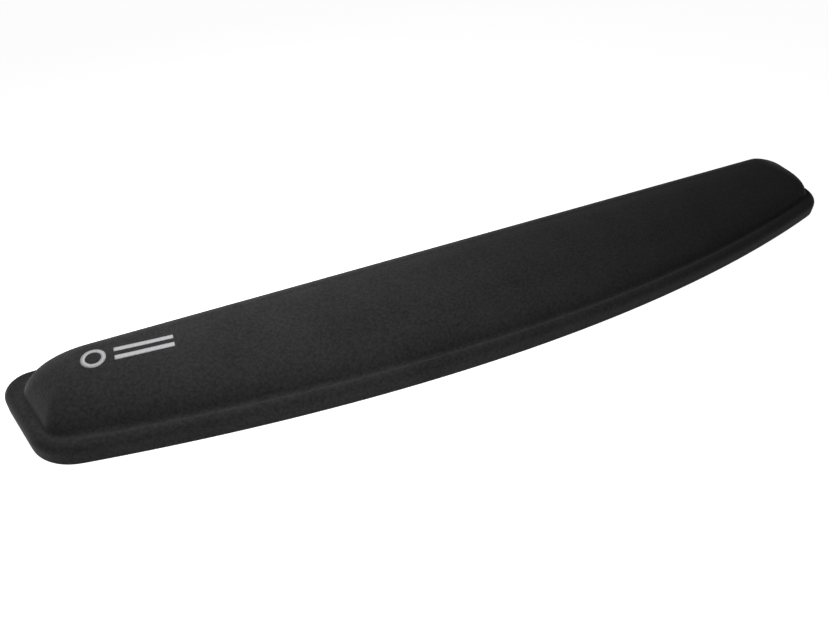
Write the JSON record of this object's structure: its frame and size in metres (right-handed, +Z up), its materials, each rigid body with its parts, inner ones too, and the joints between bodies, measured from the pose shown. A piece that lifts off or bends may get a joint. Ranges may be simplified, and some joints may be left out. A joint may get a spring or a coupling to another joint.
{
  "type": "keyboard wrist rest",
  "caption": "Long low gel wrist rest for a keyboard: a crowned pillow with a bowed front in a rounded rim, under one dark knitted cover, on a non-slip rubber base.",
  "frame": {"origin": "middle of the underside, on the table", "axes": "+X along the rest, left to right for the person using it; +Y towards the keyboard; +Z up"},
  "size_m": [0.46, 0.079, 0.0253],
  "materials": {
    "base_rubber": "matte",
    "adhesive_tape": "satin",
    "board_plastic": "matte",
    "tray_foam": "matte",
    "pouch_film": "gloss",
    "gel": "gloss",
    "cover_fabric": "matte",
    "print_ink": "satin"
  },
  "bodies": {
    "root": {"fabric_cover": "cover_fabric", "printed_mark": "print_ink", "pouch_upper_film": "pouch_film", "gel_pillow": "gel", "pouch_lower_film": "pouch_film", "foam_tray": "tray_foam", "tray_tape": "adhesive_tape", "stiffener_board": "board_plastic", "base_tape": "adhesive_tape", "non_slip_base": "base_rubber"}
  },
  "joints": []
}
